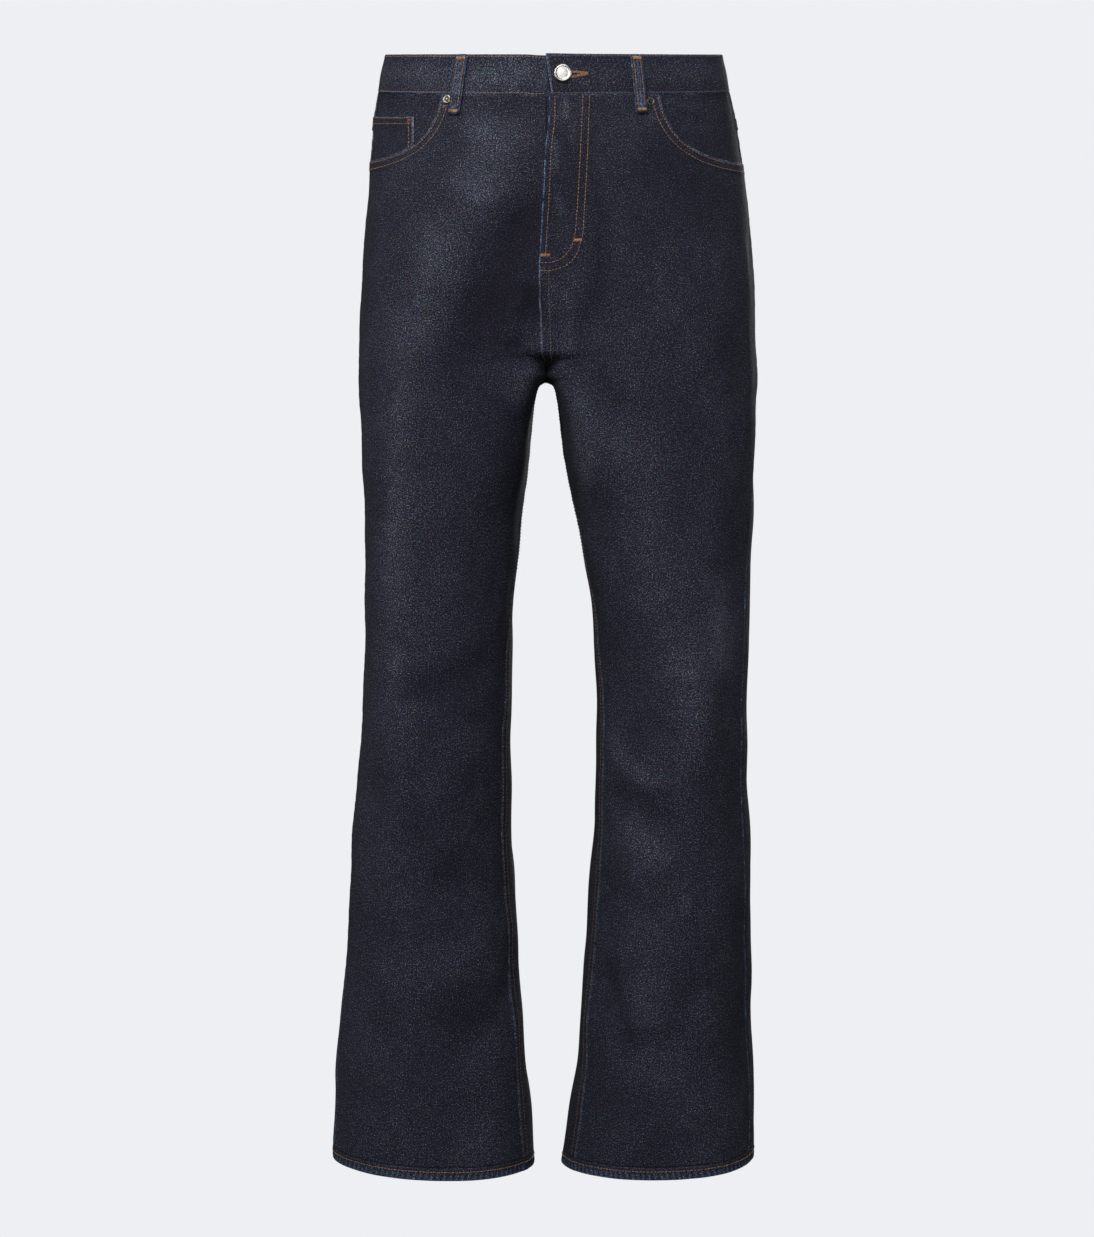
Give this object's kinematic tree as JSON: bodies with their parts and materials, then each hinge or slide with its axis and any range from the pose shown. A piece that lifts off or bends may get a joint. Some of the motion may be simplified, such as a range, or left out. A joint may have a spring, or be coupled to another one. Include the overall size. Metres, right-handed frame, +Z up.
{
  "type": "wide leg jeans",
  "caption": "Wide leg five-pocket jeans in dark rigid denim, standing open in their worn shape: waistband with belt loops, button and fly, straight hips and flared wide legs with turned hems",
  "frame": {"origin": "centre of the waist, halfway up the waistband, where the wearer holds the jeans up", "axes": "+Z up, -Y the front of the jeans, +X the wearer's left"},
  "size_m": [0.4126, 0.2546, 1.1012],
  "materials": {
    "denim": "dark rinsed indigo denim, matt",
    "denim_inside": "pale inner face of the denim, matt",
    "button_metal": "satin silver",
    "dark_metal": "aged dark steel",
    "copper": "copper"
  },
  "bodies": {
    "root": {"front_left": "denim", "front_right": "denim", "back_left": "denim", "back_right": "denim", "yoke_left": "denim", "yoke_right": "denim", "pocket_facing_left": "denim", "pocket_facing_right": "denim", "coin_pocket": "denim", "back_pocket_left": "denim", "back_pocket_right": "denim", "waistband": "denim", "fly_shield": "denim", "belt_loop_front_left": "denim", "belt_loop_front_right": "denim", "belt_loop_back_left": "denim", "belt_loop_back_right": "denim", "belt_loop_centre_back": "denim", "hem_left": "denim_inside", "hem_right": "denim_inside", "button": "button_metal", "button_tack": "dark_metal", "rivet_left": "dark_metal", "rivet_right": "button_metal", "rivet_coin": "copper"}
  },
  "joints": []
}
